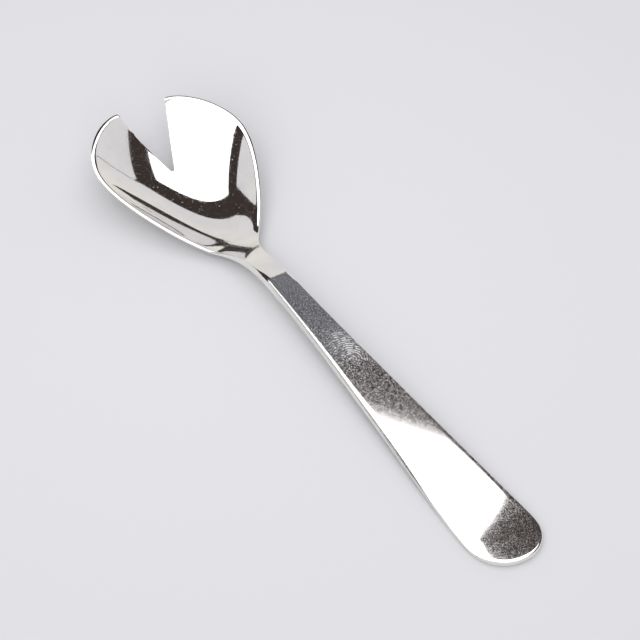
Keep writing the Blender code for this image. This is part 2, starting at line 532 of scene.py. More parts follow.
@dataclass(frozen=True)
class Scarf:
    """Sloping joint under the shoulder, with its film of solder."""

    run: float = 6.0
    drop: float = 2.2
    film: float = 0.2
    clearance: float = 0.004

    def cut(self, body: bmesh.types.BMesh, side: SideView, offset: float, keep: Keep) -> None:
        """Cuts a body along the scarf and closes the cut.

        Args:
            body: Closed body, in metres.
            side: Heights of the spoon.
            offset: Distance of the cut from the middle of the film, in millimetres.
            keep: Which side stays.
        """
        lean = Vector((self.drop, 0, self.run)).normalized()
        crease = Vector((side.crease_at - MIDDLE, 0, side.shoulder))
        cut = bmesh.ops.bisect_plane(
            body, geom=body.verts[:] + body.edges[:] + body.faces[:], dist=ON_PLANE,
            plane_co=(crease + lean * offset) * MM, plane_no=lean,
            clear_outer=keep is Keep.FRONT, clear_inner=keep is Keep.BACK)
        edges = [item for item in cut["geom_cut"] if isinstance(item, bmesh.types.BMEdge)]
        for face in bmesh.ops.edgenet_fill(body, edges=edges)["faces"]:
            face.smooth = False
        bmesh.ops.recalc_face_normals(body, faces=body.faces)


@dataclass
class Workpiece:
    """Body that is being formed from rows of points."""

    body: bmesh.types.BMesh = field(default_factory=bmesh.new)
    sharp_from: float = 28.0
    upright: float = 0.5

    def add_row(self, places: list[Place]) -> Row:
        """Adds a row of points, each given along, across and up."""
        return [self.body.verts.new(((x - MIDDLE) * MM, y * MM, z * MM)) for x, y, z in places]

    def add_strip(self, row: Row, following: Row, closed: bool) -> None:
        """Joins two rows with faces.

        Args:
            row: One row of vertices.
            following: The next row, with as many vertices.
            closed: Whether the rows are rings.
        """
        for step in range(len(row) if closed else len(row) - 1):
            beside = (step + 1) % len(row)
            self.body.faces.new((row[step], row[beside], following[beside], following[step]))

    def close(self) -> None:
        """Merges points that coincide, turns all faces outwards and shades them smooth."""
        bmesh.ops.remove_doubles(self.body, verts=self.body.verts, dist=SAME_PLACE)
        bmesh.ops.dissolve_degenerate(self.body, edges=self.body.edges, dist=ON_PLANE)
        bmesh.ops.recalc_face_normals(self.body, faces=self.body.faces)
        for face in self.body.faces:
            face.smooth = True

    def finish(self, piece: Piece, material: Material, side_material: Material) -> bpy.types.Object:
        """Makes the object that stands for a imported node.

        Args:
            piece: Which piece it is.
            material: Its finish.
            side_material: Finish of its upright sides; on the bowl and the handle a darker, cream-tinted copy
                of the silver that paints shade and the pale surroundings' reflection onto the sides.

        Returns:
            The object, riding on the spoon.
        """
        for edge in self.body.edges:
            on_cut = any(not face.smooth for face in edge.link_faces)
            edge.smooth = not on_cut and edge.calc_face_angle(0.0) < math.radians(self.sharp_from)
        mesh = bpy.data.meshes.new(f"dressed_{piece.node}")
        self.body.to_mesh(mesh)
        self.body.free()
        mesh.materials.append(material)
        mesh.materials.append(side_material)
        # Faces steeper than upright take the side material: on the bowl and the handle a darker, cream-tinted
        # copy of the silver, painted shade and painted reflection of the pale surroundings.
        for polygon in mesh.polygons:
            polygon.material_index = int(abs(polygon.normal.z) < self.upright)
        dressed = bpy.data.objects.new(f"dressed_{piece.node}", mesh)
        bpy.context.scene.collection.objects.link(dressed)
        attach(dressed, "root")
        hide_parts(piece.node)
        LOG.info("%s: %d faces in place of %s", dressed.name, len(mesh.polygons), piece.node)
        return dressed


class NodeSheet:
    """Node tree of a material or of the surroundings, with short ways to add nodes to it."""

    def __init__(self, owner: Material | bpy.types.World, shader: str = "Principled BSDF") -> None:
        """Opens the owner's nodes.

        Args:
            owner: The material or the surroundings, whose nodes are put in use.
            shader: Name of its shader node.
        """
        owner.use_nodes = True
        self.tree = owner.node_tree
        self.shader = self.tree.nodes[shader]

    @cached_property
    def where(self) -> Socket:
        """Coordinates on the piece, in metres."""
        return self.add("ShaderNodeTexCoord").outputs["Object"]

    @cached_property
    def forward(self) -> Socket:
        """Coordinate along the spoon, in metres."""
        return self.add("ShaderNodeSeparateXYZ", {0: self.where}).outputs["X"]

    def wire(self, node: bpy.types.Node, inputs: dict) -> None:
        """Links a node's inputs, or sets their values.

        Args:
            node: The node.
            inputs: Sockets to link from, or values to set, by the input's name or number.
        """
        for name, value in inputs.items():
            if isinstance(value, Socket):
                self.tree.links.new(value, node.inputs[name])
            else:
                node.inputs[name].default_value = value

    def add(self, kind: str, inputs: dict | None = None, **settings: object) -> bpy.types.Node:
        """Adds a node.

        Args:
            kind: Blender's name of the node type.
            inputs: Sockets to link from, or values to set, by the input's name or number.
            settings: Properties of the node.

        Returns:
            The node.
        """
        node = self.tree.nodes.new(kind)
        for name, value in settings.items():
            setattr(node, name, value)
        self.wire(node, inputs or {})
        return node

    def combine(self, kind: Sum, first: Socket, second: Socket | float) -> Socket:
        """Value made from two others."""
        return self.add("ShaderNodeMath", {0: first, 1: second}, operation=kind.value).outputs[0]

    def shift(self, kind: Sum, where: Socket, by: Place) -> Socket:
        """Coordinates made from others and an amount for each axis."""
        return self.add("ShaderNodeVectorMath", {0: where, 1: by}, operation=kind.value).outputs[0]

    def noise(self, lumps: float, layers: float) -> Socket:
        """Soft noise from 0 to 1, with a number of lumps to the metre and layers of finer noise."""
        inputs = {"Vector": self.where, "Scale": lumps, "Detail": layers}
        return self.add("ShaderNodeTexNoise", inputs).outputs["Fac"]

    def chance(self, cells: float) -> Socket:
        """Random value from 0 to 1 for each cell of the surface, with a number of cells to the metre."""
        found = self.add("ShaderNodeTexVoronoi", {"Vector": self.where, "Scale": cells})
        return self.add("ShaderNodeSeparateColor", {"Color": found.outputs["Color"]}).outputs["Red"]

    def spread(self, value: Socket, low: float, high: float, to: Pair) -> Socket:
        """Value eased from the range between low and high onto another range."""
        inputs = {"Value": value, "From Min": low, "From Max": high, "To Min": to[0], "To Max": to[1]}
        return self.add("ShaderNodeMapRange", inputs, interpolation_type="SMOOTHSTEP").outputs["Result"]

    def scratches(self, patches: float, fine: float, long: float) -> Socket:
        """Fine scratches that run one way in each patch of the surface.

        Args:
            patches: Patches to the metre.
            fine: Scratches to the metre, across their run.
            long: Scratches to the metre, along their run.

        Returns:
            Height of the scratched surface, from 0 to 1.
        """
        full_turn = 6.283
        turn = self.combine(Sum.MULTIPLY, self.chance(patches), full_turn)
        inputs = {"Vector": self.where, "Angle": turn}
        turned = self.add("ShaderNodeVectorRotate", inputs, rotation_type="Z_AXIS").outputs[0]
        drawn = self.add("ShaderNodeMapping", {"Vector": turned, "Scale": (long, fine, fine)}).outputs[0]
        inputs = {"Vector": drawn, "Scale": 1.0, "Detail": 1.0}
        return self.add("ShaderNodeTexNoise", inputs).outputs["Fac"]

    def bump(self, height: Socket, depth: float, under: Socket | None = None) -> Socket:
        """Normal bumped by heights from 0 to 1, to a depth in metres, over one that may be bumped already."""
        inputs = {"Height": height, "Distance": depth} | ({} if under is None else {"Normal": under})
        return self.add("ShaderNodeBump", inputs).outputs["Normal"]


@dataclass(frozen=True)
class Smudge:
    """Patch of fine curved ridges rubbed into the polish."""

    along: float
    aside: float
    reach: float
    width: float
    ridge: float = 0.6
    roughness: float = 0.46
    polish: float = 0.05
    ridge_range: Pair = (0.3, 0.8)
    wear_lumps: float = 1100.0
    wear_range: Pair = (0.3, 0.75)
    wear_reach: float = 0.7
    fade: Pair = (1.25, 0.1)
    ring_centre: Pair = (-0.7, 0.3)
    wander: float = 5.0

    def draw(self, sheet: NodeSheet) -> Socket:
        """Draws the patch, whose rings have their centre nearer the handle's end and to the left.

        Args:
            sheet: Nodes of the silver.

        Returns:
            Roughness of the ridges, 0 outside the patch.
        """
        moved = sheet.shift(Sum.SUBTRACT, sheet.where, ((self.along - MIDDLE) * MM, self.aside * MM, 0.0))
        shaped = sheet.shift(Sum.MULTIPLY, moved, (1 / (self.reach * MM), 1 / (self.width * MM), 0.0))
        away = sheet.add("ShaderNodeVectorMath", {0: shaped}, operation="LENGTH").outputs["Value"]
        worn = sheet.spread(sheet.noise(self.wear_lumps, 2.0), *self.wear_range, (0.0, self.wear_reach))
        patch = sheet.spread(sheet.combine(Sum.ADD, away, worn), *self.fade, (0.0, 1.0))
        ahead, aside = (share * self.width * MM for share in self.ring_centre)
        turned = sheet.shift(Sum.ADD, moved, (ahead, aside, 0.0))
        inputs = {"Vector": turned, "Scale": math.pi / (10 * self.ridge * MM)}
        inputs |= {"Distortion": self.wander, "Detail": 2.0, "Detail Scale": 0.6}
        rings = sheet.add("ShaderNodeTexWave", inputs, wave_type="RINGS", rings_direction="Z")
        ridges = sheet.spread(rings.outputs["Fac"], *self.ridge_range, (self.polish, self.roughness))
        return sheet.combine(Sum.MULTIPLY, patch, ridges)


@dataclass(frozen=True)
class SilverFinish:
    """Polished silver with its wear."""

    name: str
    colour: Colour
    roughness: Pair
    wave_depth: float
    scratch_depth: float
    grain_depth: float
    end_colour: Colour | None = None
    end_tone: Along = Along(((75.0, 0.0), (95.0, 1.0)))
    speck_roughness: float = 0.3
    speck_chance: Pair = (0.99, 1.0)
    speck_cells: float = 5000.0
    speck_along: Along | None = None
    polish_along: Along | None = None
    haze_colour: Colour = (0.76, 0.87, 1.0)
    haze_roughness: float = 0.7
    haze_along: Along | None = None
    smudge: Smudge | None = None
    tarnish: float = 0.94
    tarnish_lumps: float = 260.0
    tarnish_range: Pair = (0.35, 0.75)
    polish_lumps: float = 900.0
    polish_range: Pair = (0.3, 0.7)
    wave_lumps: float = 130.0
    scratch_patches: float = 700.0
    scratch_fine: float = 7500.0
    scratch_long: float = 900.0
    scratch_range: Pair = (0.55, 0.72)
    deep_scratch_range: Pair = (0.68, 0.76)
    grain_lumps: float = 4200.0

    def tint(self, sheet: NodeSheet) -> Socket:
        """Colour, turning to the end's colour along the handle and clouded with tarnish.

        Args:
            sheet: Nodes of the silver.

        Returns:
            The colour.
        """
        inputs = {0: self.end_tone.draw(sheet)}
        inputs |= {6: (*self.colour, 1.0), 7: (*(self.end_colour or self.colour), 1.0)}
        tone = sheet.add("ShaderNodeMix", inputs, data_type="RGBA", blend_type="MIX")
        clouds = sheet.noise(self.tarnish_lumps, 4.0)
        cloud = sheet.spread(clouds, *self.tarnish_range, (1.0, self.tarnish))
        inputs = {0: tone.outputs[2], "Scale": cloud}
        return sheet.add("ShaderNodeVectorMath", inputs, operation="SCALE").outputs[0]

    def wear(self, sheet: NodeSheet, scratched: Socket) -> Socket:
        """Roughness of the polish, with its specks, scratches and smudge.

        Args:
            sheet: Nodes of the silver.
            scratched: Height of the scratched surface.

        Returns:
            The roughness.
        """
        rough = sheet.spread(sheet.noise(self.polish_lumps, 3.0), *self.polish_range, self.roughness)
        if self.polish_along is not None:
            rough = sheet.combine(Sum.MULTIPLY, rough, self.polish_along.draw(sheet))
        full = (0.0, self.speck_roughness)
        specks = sheet.spread(sheet.chance(self.speck_cells), *self.speck_chance, full)
        deep = sheet.spread(scratched, *self.deep_scratch_range, full)
        specks = sheet.combine(Sum.MAXIMUM, specks, deep)
        if self.speck_along is not None:
            specks = sheet.combine(Sum.MULTIPLY, specks, self.speck_along.draw(sheet))
        rough = sheet.combine(Sum.MAXIMUM, rough, specks)
        if self.smudge is not None:
            rough = sheet.combine(Sum.MAXIMUM, rough, self.smudge.draw(sheet))
        return rough

    def make(self) -> Material:
        """Makes the material, with waves, scratches and grain in the bump and haze in the sheen.

        Returns:
            The material.
        """
        material = bpy.data.materials.new(self.name)
        sheet = NodeSheet(material)
        scratched = sheet.scratches(self.scratch_patches, self.scratch_fine, self.scratch_long)
        waves = sheet.bump(sheet.noise(self.wave_lumps, 1.5), self.wave_depth)
        lines = sheet.spread(scratched, *self.scratch_range, (0.0, 1.0))
        lined = sheet.bump(lines, self.scratch_depth, waves)
        grain = sheet.bump(sheet.noise(self.grain_lumps, 2.0), self.grain_depth, lined)
        silver = {"Metallic": 1.0, "Base Color": self.tint(sheet), "Normal": grain}
        silver["Roughness"] = self.wear(sheet, scratched)
        if self.haze_along is not None:
            silver |= {"Sheen Tint": (*self.haze_colour, 1.0), "Sheen Roughness": self.haze_roughness}
            silver["Sheen Weight"] = self.haze_along.draw(sheet)
        sheet.wire(sheet.shader, silver)
        return material


@dataclass(frozen=True)
class DullFinish:
    """Dull finish of one colour, for what stands round the spoon."""

    name: str
    colour: Colour
    roughness: float = 0.9
    shine: float = 0.1

    def make(self) -> Material:
        """Makes the material.

        Returns:
            The material.
        """
        material = bpy.data.materials.new(self.name)
        sheet = NodeSheet(material)
        inputs = {"Base Color": (*self.colour, 1.0), "Roughness": self.roughness}
        sheet.wire(sheet.shader, inputs | {"Specular IOR Level": self.shine})
        return material


@dataclass
class Bowl:
    """Notched bowl with its rim and the short neck behind it."""

    plan: Plan
    side: SideView
    scarf: Scarf
    edges: Edges = Edges()
    notch: Notch = Notch()
    flat: WornFlat = WornFlat()
    runs_to: float = 66.5
    crease_clear: float = 0.3
    point_clear: Pair = (0.1, 0.25)
    point_gaps: tuple[float, ...] = (0.04, 0.09, 0.16, 0.3)
    front_steps: int = 44
    side_steps: int = 30
    neck_steps: int = 40
    grip_steps: int = 16
    point_steps: int = 8
    columns: int = 34
    rim_shares: tuple[float, ...] = (0.08, 0.17, 0.26, 0.36, 0.46, 0.56, 0.66, 0.76, 0.86, 0.94, 1.0)
    close_shares: tuple[float, ...] = (0.003, 0.007, 0.012, 0.978, 0.985, 0.992)
    wall_shares: tuple[float, ...] = (0.15, 0.5, 0.85, 1.0)
    bevel_shares: tuple[float, ...] = (0.25, 0.6)
    bevel_most: float = 0.4
    least_aside: float = 0.2
    inner_edge: list[Pair] = field(default_factory=list)
    finish: SilverFinish = SilverFinish(
        "bowl_bright_silver", (0.95, 0.94, 0.925), (0.015, 0.05), 1.2e-6, 0.6e-6, 0.05e-6)
    # Upright sides: a darker, cream-tinted copy of the bowl's silver, painted shade and painted reflection of
    # the pale surroundings.
    side_painted_shade_finish: SilverFinish = SilverFinish(
        "bowl_side_silver_painted_shade", (0.93, 0.915, 0.86), (0.04, 0.1), 1.2e-6, 0.6e-6, 0.05e-6)

    def outline(self) -> list[Station]:
        """Stations from the notch round the bowl and on past the scarf.

        Returns:
            The stations, with closer ones beside the notch's point.
        """
        plan, notch, crease = self.plan, self.notch, self.side.crease_at
        curves = ((plan.front, self.front_steps), (plan.side, self.side_steps), (plan.neck, self.neck_steps))
        points = [curve.at(step / steps) for curve, steps in curves for step in range(steps)]
        clear_from, clear_to = notch.centre - self.point_clear[0], notch.depth + self.point_clear[1]
        points = [point for point in points if not clear_from < point[0] < clear_to]
        turns = [math.pi / 2 * step / self.point_steps for step in range(self.point_steps + 1)]
        near = [notch.centre + notch.round * math.sin(turn) for turn in turns]
        near += [notch.depth + gap for gap in self.point_gaps]
        points += [(u, (plan.front if u < plan.widest.at else plan.side).height(u)) for u in near]
        points.sort()
        reach = self.runs_to - plan.waist.at
        grip = [plan.waist.at + reach * step / self.grip_steps for step in range(self.grip_steps + 1)]
        grip = sorted([u for u in grip if abs(u - crease) > self.crease_clear] + [crease])
        points += [(u, plan.half_grip(u)) for u in grip]
        after = self.runs_to + 1.0
        found = stations(points, (after, plan.half_grip(after)))
        found[0] = Station(found[0].along, found[0].half, (-1.0, 0.0))
        return [Station(0.0, notch.half_mouth, (-1.0, 0.0), on_notch=True)] + found

    def shares(self) -> list[float]:
        """Shares of the way from the notch or the centre line to the rim, closer at both ends."""
        even = [step / self.columns for step in range(self.columns + 1)]
        return sorted([*even, *self.close_shares])

    def finely(self, points: list[Pair]) -> list[Pair]:
        """Points of a line with three more between each two.

        Args:
            points: The line's points.

        Returns:
            The closer points.
        """
        found, parts = [], 4
        for (u, y), (after_u, after_y) in zip(points, points[1:]):
            reach = (after_u - u, after_y - y)
            found += [(u + reach[0] * step / parts, y + reach[1] * step / parts) for step in range(parts)]
        return found + points[-1:]

    def rim_gap(self, along: float, aside: float) -> float:
        """Shortest distance of a point of the hollow from the rim's inner edge."""
        return min(math.hypot(along - u, aside - y) for u, y in self.inner_edge)

    def inside(self, station: Station, depth: float) -> Pair:
        """Point at a depth inside the outline, kept on the notch's side where the station is there."""
        place, aside = station.inset(depth)
        return (place, self.notch.half_gap(place) if station.on_notch else aside)

    def corner(self, station: Station) -> RimCorner:
        """Corner between the hollow and the rim.

        Args:
            station: Place on the outline.

        Returns:
            The corner, as steep as the hollow is beside it.
        """
        width = self.edges.inset.at(station.along)
        along, half = station.inset(width)
        depth = self.side.edge(along) - self.side.middle(along)
        steep = 2 * depth / (half * max(self.least_aside, station.out[1]))
        return RimCorner(min(self.edges.steepest_hollow, steep), min(self.edges.rim_fillet, width / 2))

    def hollow_points(self, station: Station, corner: RimCorner) -> list[Place]:
        """Points across the hollow.

        Args:
            station: Place on the outline.
            corner: Corner between the hollow and the rim.

        Returns:
            The points, from the centre line or the notch to the rim.
        """
        along, half = station.inset(self.edges.inset.at(station.along))
        lip = self.notch.half_gap(along)
        edge, floor = self.side.edge(along), self.side.middle(along)
        points = []
        for share in self.shares():
            aside = lip if station.on_notch else lip + (half - lip) * share
            across = 1.0 if station.on_notch else aside / half
            height = edge + (floor - edge) * (1 - across * across)
            height -= corner.drop(self.rim_gap(along, aside)) + self.notch.softening(along, aside)
            points.append((along, aside, height))
        return points

    def rim_points(self, station: Station, corner: RimCorner) -> list[Place]:
        """Points over the rim.

        Args:
            station: Place on the outline.
            corner: Corner between the hollow and the rim.

        Returns:
            The points, from the hollow to the outline.
        """
        along, edges = station.along, self.edges
        width = edges.inset.at(along)
        inner = self.side.edge(station.inset(width)[0])
        outer = self.side.edge(along) - edges.drop.at(along)
        soft, soft_drop = edges.soft_width.at(along), edges.soft_drop.at(along)
        points = []
        for share in self.rim_shares:
            depth = width * (1 - share)
            place, aside = self.inside(station, depth)
            height = outer + (inner - outer) * depth / width - corner.drop(width - depth)
            height -= soft_drop * max(0.0, 1 - depth / soft) ** 2
            points.append((place, aside, height - self.notch.softening(place, aside)))
        return points

    def under_points(self, station: Station, rim_edge: Place) -> list[Place]:
        """Points down the wall and along the underside.

        Args:
            station: Place on the outline.
            rim_edge: Where the rim ends.

        Returns:
            The points, from the rim to the centre line or the notch.
        """
        side, (along, aside, upper) = self.side, rim_edge
        lift = self.edges.under_lift.at(station.along)
        lower = max(0.0, side.edge(station.along) - side.wall(station.along)) + lift
        points = [(along, aside, upper + (lower - upper) * share) for share in self.wall_shares]
        bevel = min(self.edges.under_bevel, station.half * self.bevel_most)
        under_along, half = station.inset(bevel)
        for depth in [bevel * share for share in self.bevel_shares]:
            height = side.under(under_along, 1.0) + lift * (1 - depth / bevel) ** 2
            points.append((*self.inside(station, depth), height))
        lip = self.notch.half_gap(under_along)
        for share in reversed(self.shares()):
            aside = lip if station.on_notch else lip + (half - lip) * share
            across = 1.0 if station.on_notch else aside / station.half
            points.append((under_along, aside, side.under(under_along, across)))
        return points

    def half_section(self, station: Station) -> list[Place]:
        """Half a ring round the metal.

        Args:
            station: Place on the outline.

        Returns:
            Points from the top's centre line or notch, over the rim, to the same line below.
        """
        corner = self.corner(station)
        top = self.hollow_points(station, corner) + self.rim_points(station, corner)
        return top + self.under_points(station, top[-1])

    def wear(self, along: float, aside: float, height: float) -> Place:
        """Point of the neck, lowered to the worn flat where it is above it."""
        half = self.plan.half_grip(along) if along > self.plan.waist.at else self.plan.neck.height(along)
        return (along, aside, min(height, self.flat.height(along, half - aside)))

    def blank(self) -> Workpiece:
        """Closed bowl and neck, running on past the scarf.

        Returns:
            The workpiece.
        """
        work = Workpiece()
        outline = self.outline()
        self.inner_edge = self.finely([spot.inset(self.edges.inset.at(spot.along)) for spot in outline[1:]])
        sections = [self.half_section(station) for station in outline]
        worn = [[self.wear(*place) for place in section] for section in sections]
        top = len(self.shares())
        for flank, side in ((Flank.RIGHT, sections), (Flank.LEFT, worn)):
            sign = flank.value
            rows = [work.add_row([(x, y * sign, z) for x, y, z in section]) for section in side]
            for row, following in zip(rows, rows[1:]):
                work.add_strip(row, following, closed=False)
                if max(row[0].co.y * sign, row[-1].co.y * sign) > ON_CENTRE:
                    work.body.faces.new((row[-1], row[0], following[0], following[-1]))
            work.body.faces.new(rows[0][top - 1:len(rows[0]) - top + 1])
        work.close()
        return work

    def build(self) -> bpy.types.Object:
        """Cuts the blank along the scarf and dresses it.

        Returns:
            The bowl's object.
        """
        work = self.blank()
        self.scarf.cut(work.body, self.side, -self.scarf.film / 2 - self.scarf.clearance, Keep.FRONT)
        return work.finish(Piece.BOWL, self.finish.make(), self.side_painted_shade_finish.make())


@dataclass
class Handle:
    """Flat tapering handle, whose left edge is worn rounder than its right one."""

    plan: Plan
    side: SideView
    scarf: Scarf
    crown: Along = Along(((58.2, 0.0), (66.2, 0.009)))
    left_roll: Along = Along(((66.0, 0.88), (88.0, 1.15), (92.0, 1.15), (141.0, 3.5)))
    left_steep: Along = Along(((110.0, 0.76), (141.0, 0.32)))
    right_roll: Along = Along(((92.0, 0.75), (112.0, 1.1)))
    right_steep: Along = Along(((58.0, 0.02), (110.0, 0.14)))
    shoulder_steep: Along = Along(((58.2, 0.3), (62.2, 0.0)))
    tip_roll: float = 0.85
    tip_steep: float = 0.25
    tip_turns: Pair = (0.1, 0.75)
    corner: float = 0.06
    under_bevel: float = 0.35
    under_lift: float = 0.4
    starts_ahead: float = 1.2
    crease_clear: float = 0.4
    steps: int = 76
    end_steps: int = 30
    roll_steps: int = 14
    columns: int = 22
    wall_shares: tuple[float, ...] = (0.08, 0.3, 0.6, 1.0)
    bevel_shares: tuple[float, ...] = (0.12, 0.28, 0.48, 0.72)
    finish: SilverFinish = SilverFinish(
        "handle_worn_silver", (0.93, 0.93, 0.93), (0.06, 0.09), 4e-6, 0.4e-6, 0.15e-6,
        end_colour=(0.95, 0.93, 0.91), speck_roughness=0.5, speck_chance=(0.84, 0.88), speck_cells=11000.0,
        speck_along=Along((
            (58.0, 0.49), (72.0, 0.57), (88.0, 0.82), (101.0, 0.98),
            (113.0, 1.55), (130.0, 1.3), (143.0, 0.36))),
        polish_along=Along(((118.0, 1.0), (132.0, 0.55))),
        haze_along=Along(((58.0, 0.36), (68.0, 0.28), (82.0, 0.3), (92.0, 0.03))),
        smudge=Smudge(84.0, 1.6, 10.0, 5.0))
    # Upright sides: a darker, cream-tinted copy of the handle's silver, painted shade and painted reflection
    # of the pale surroundings.
    side_painted_shade_finish: SilverFinish = SilverFinish(
        "handle_side_silver_painted_shade", (0.84, 0.83, 0.77), (0.06, 0.12), 4e-6, 0.4e-6, 0.15e-6,
        end_colour=(0.94, 0.93, 0.89))

    def outline(self) -> list[Station]:
        """Stations from just ahead of the crease to the very end.

        Returns:
            The stations.
        """
        plan, crease = self.plan, self.side.crease_at
        first = crease - self.starts_ahead
        reach = plan.end_from.at - first
        places = [first + reach * step / self.steps for step in range(self.steps)]
        places = sorted([u for u in places if abs(u - crease) > self.crease_clear] + [crease])
        points = [(u, plan.half_grip(u)) for u in places]
        points += [plan.end(math.pi / 2 * step / self.end_steps) for step in range(self.end_steps + 1)]
        found = stations(points, (plan.length, -points[-2][1]))
        found[-1] = Station(plan.length, 0.0, (1.0, 0.0))
        return found

    def top(self, along: float, aside: float) -> float:
        """Crowned top, before its edges are rounded.

        Args:
            along: Distance from the tine tips.
            aside: Distance from the centre line.

        Returns:
            Height above the table.
        """
        if along < self.side.crease_at:
            return self.side.floor(along)
        half = self.plan.half_grip(along)
        return self.side.edge(along) + self.crown.at(along) * (half - aside * aside / half)

    def roll(self, station: Station, flank: Flank) -> Pair:
        """How an edge is rounded.

        Args:
            station: Place on the outline.
            flank: Which of the two edges.

        Returns:
            Width of the rounding and its slope at the outline; both sides have the same at the very end.
        """
        along, turn = station.along, 0.0
        if along > self.plan.end_from.at:
            turn = math.atan2(max(0.0, station.out[0]), station.out[1])
        if flank is Flank.LEFT:
            width, steep = self.left_roll.at(along), self.left_steep.at(along)
        else:
            width = self.right_roll.at(along)
            steep = self.right_steep.at(along) + self.shoulder_steep.at(along)
        width = eased(width, self.tip_roll, *self.tip_turns, turn)
        return (width, eased(steep, self.tip_steep, *self.tip_turns, turn))

    def rolled_edge(self, station: Station, flank: Flank) -> list[Place]:
        """Rounded edge on one side, with its fine corner.

        Args:
            station: Place on the outline.
            flank: Which of the two edges.

        Returns:
            Points from the outline inwards.
        """
        corner = self.corner
        width, steep = self.roll(station, flank)
        depths = [corner * (1 - math.sin(math.radians(turn))) for turn in range(90, 9, -10)]
        depths += [corner + (width - corner) * step / self.roll_steps for step in range(self.roll_steps + 1)]
        found = []
        for depth in depths:
            place, half = station.inset(depth)
            rounding = corner - math.sqrt(corner ** 2 - max(0.0, corner - depth) ** 2)
            height = self.top(place, half) - steep * width / 3 * (1 - depth / width) ** 3 - rounding
            found.append((place, half * flank.value, height))
        return found

    def section(self, station: Station) -> list[Place]:
        """Ring round the metal.

        Args:
            station: Place on the outline.

        Returns:
            The ring's points, from the left edge over the top and back underneath.
        """
        along, side, bevel, lift = station.along, self.side, self.under_bevel, self.under_lift
        ring = self.rolled_edge(station, Flank.LEFT)
        right = self.rolled_edge(station, Flank.RIGHT)
        (left_along, left_aside, _), (right_along, right_aside, _) = ring[-1], right[-1]
        for step in range(1, self.columns):
            share = step / self.columns
            place = left_along + (right_along - left_along) * share
            aside = left_aside + (right_aside - left_aside) * share
            ring.append((place, aside, self.top(place, aside)))
        ring += reversed(right)

        upper = ring[-1][2]
        lower = max(0.0, side.edge(along) - side.wall(along)) + lift
        walls = [upper + (lower - upper) * share for share in self.wall_shares]
        under_along, under_half = station.inset(bevel)
        under_half = max(under_half, 0.0)
        soft = []
        for share in self.bevel_shares:
            place, half = station.inset(bevel * share)
            soft.append((place, max(half, 0.0), side.under(under_along, 1.0) + lift * (1 - share) ** 2))
        ring += [(along, station.half, height) for height in walls] + soft
        for step in range(self.columns + 1):
            share = 1 - 2 * step / self.columns
            ring.append((under_along, share * under_half, side.under(under_along, share)))
        ring += [(place, -half, height) for place, half, height in reversed(soft)]
        ring += [(along, -station.half, height) for height in reversed(walls)]
        return ring

    def blank(self) -> Workpiece:
        """Handle, running on ahead of the scarf, where it is open.

        Returns:
            The workpiece.
        """
        work = Workpiece()
        rows = [work.add_row(self.section(station)) for station in self.outline()]
        for row, following in zip(rows, rows[1:]):
            work.add_strip(row, following, closed=True)
        work.close()
        return work

    def build(self) -> bpy.types.Object:
        """Cuts the blank along the scarf and dresses it.

        Returns:
            The handle's object.
        """
        work = self.blank()
        self.scarf.cut(work.body, self.side, self.scarf.film / 2 + self.scarf.clearance, Keep.BACK)
        return work.finish(Piece.HANDLE, self.finish.make(), self.side_painted_shade_finish.make())


@dataclass
class SolderSeam:
    """Film of solder in the scarf, cut from the bowl's blank."""

    bowl: Bowl
    finish: SilverFinish = SilverFinish(
        "solder_yellow_silver", (0.93, 0.91, 0.82), (0.03, 0.08), 1e-6, 0.5e-6, 0.2e-6)

    def build(self) -> bpy.types.Object:
        """Cuts the film out along both faces of the scarf and dresses it.

        Returns:
            The seam's object.
        """
        work = self.bowl.blank()
        scarf = self.bowl.scarf
        scarf.cut(work.body, self.bowl.side, scarf.film / 2, Keep.FRONT)
        scarf.cut(work.body, self.bowl.side, -scarf.film / 2, Keep.BACK)
        silver = self.finish.make()
        return work.finish(Piece.SEAM, silver, silver)


@dataclass(frozen=True)
class Card:
    """Flat card at the light box's height, in the light box's own axes."""

    name: str
    corners: tuple[Pair, ...]
    colour: Colour = (0.06, 0.045, 0.038)


